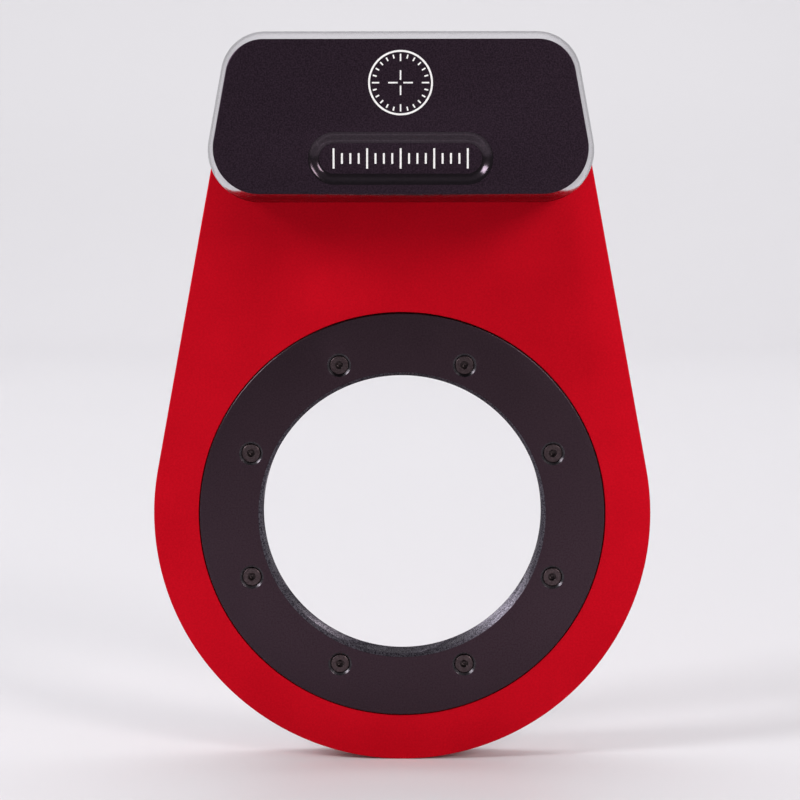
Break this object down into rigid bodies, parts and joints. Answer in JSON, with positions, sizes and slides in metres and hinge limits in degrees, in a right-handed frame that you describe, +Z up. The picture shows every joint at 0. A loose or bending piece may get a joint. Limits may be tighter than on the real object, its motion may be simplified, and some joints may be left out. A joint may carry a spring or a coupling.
{
  "type": "camera rotator",
  "caption": "Flat pear-shaped motorised camera rotator for a telescope: a threaded black ring turns in a red plate, driven by a geared stepper motor under a black cover.",
  "frame": {"origin": "on the optical axis, in the plane of the telescope seat (the back face of the rear flange)", "axes": "+Z up, towards the motor cover; +Y along the optical axis, towards the telescope; the camera side faces -Y; +X to the right seen from the camera side"},
  "size_m": [0.0944, 0.0314, 0.1372],
  "materials": {
    "red_anodised": "bead-blasted, satin red anodised",
    "black_anodised": "turned, satin black anodised",
    "cover_black": "bead-blasted black anodised with a bright cut chamfer",
    "black_screws": "black oxide",
    "gear_aluminium": "hard anodised, dark",
    "bearing_steel": "ground",
    "cage_polymer": "moulded",
    "acetal": "machined",
    "brass": "machined",
    "zinc_plate": "zinc plated",
    "circuit_board": "solder mask",
    "chip_black": "moulded",
    "capacitor_can": "drawn",
    "connector_nylon": "moulded",
    "cable_jacket": "matt"
  },
  "bodies": {
    "housing": {"bearing_outer_race": "bearing_steel", "board_screw_1": "zinc_plate", "board_screw_2": "zinc_plate", "capacitor": "capacitor_can", "control_board": "circuit_board", "cover_screw_1": "black_screws", "cover_screw_2": "black_screws", "cover_screw_3": "black_screws", "cover_screw_4": "black_screws", "cover_shell": "cover_black", "flange_screw_1": "black_screws", "flange_screw_2": "black_screws", "flange_screw_3": "black_screws", "flange_screw_4": "black_screws", "flange_screw_5": "black_screws", "flange_screw_6": "black_screws", "idler_shaft": "bearing_steel", "main_body": "red_anodised", "microcontroller": "chip_black", "motor_cable": "cable_jacket", "motor_can": "zinc_plate", "motor_connector": "connector_nylon", "motor_driver_chip": "chip_black", "motor_screw_1": "zinc_plate", "motor_screw_2": "zinc_plate", "rear_cover": "red_anodised", "rear_cover_screw_1": "black_screws", "rear_cover_screw_2": "black_screws", "rear_cover_screw_3": "black_screws", "rear_cover_screw_4": "black_screws", "rear_cover_screw_5": "black_screws", "rear_cover_screw_6": "black_screws", "rear_flange": "black_anodised", "usb_socket": "zinc_plate"},
    "rotor": {"front_ring": "black_anodised", "rotor_gear": "gear_aluminium", "bearing_inner_race": "bearing_steel", "ring_screw_1": "black_screws", "ring_screw_2": "black_screws", "ring_screw_3": "black_screws", "ring_screw_4": "black_screws", "ring_screw_5": "black_screws", "ring_screw_6": "black_screws", "ring_screw_7": "black_screws", "ring_screw_8": "black_screws"},
    "ball_cage": {"bearing_ball_cage": "cage_polymer"},
    "idler": {"idler_gear": "acetal"},
    "motor_output": {"motor_shaft": "bearing_steel", "pinion": "brass"}
  },
  "joints": [
    {"name": "rotor_spin", "type": "hinge", "parent": "housing", "child": "rotor", "pos_m": [0, 0, 0], "axis": [0, 1, 0], "continuous": true},
    {"name": "cage_spin", "type": "hinge", "parent": "housing", "child": "ball_cage", "pos_m": [0, 0, 0], "axis": [0, 1, 0], "continuous": true},
    {"name": "idler_spin", "type": "hinge", "parent": "housing", "child": "idler", "pos_m": [0, -0.0063, 0.052], "axis": [0, 1, 0], "continuous": true},
    {"name": "pinion_spin", "type": "hinge", "parent": "housing", "child": "motor_output", "pos_m": [-0.009, -0.0063, 0.06759], "axis": [0, 1, 0], "continuous": true}
  ],
  "couplings": [
    {"joint": "cage_spin", "follows": "rotor_spin", "ratio": 0.4815},
    {"joint": "idler_spin", "follows": "rotor_spin", "ratio": -3.3333},
    {"joint": "pinion_spin", "follows": "rotor_spin", "ratio": 6.6667}
  ]
}
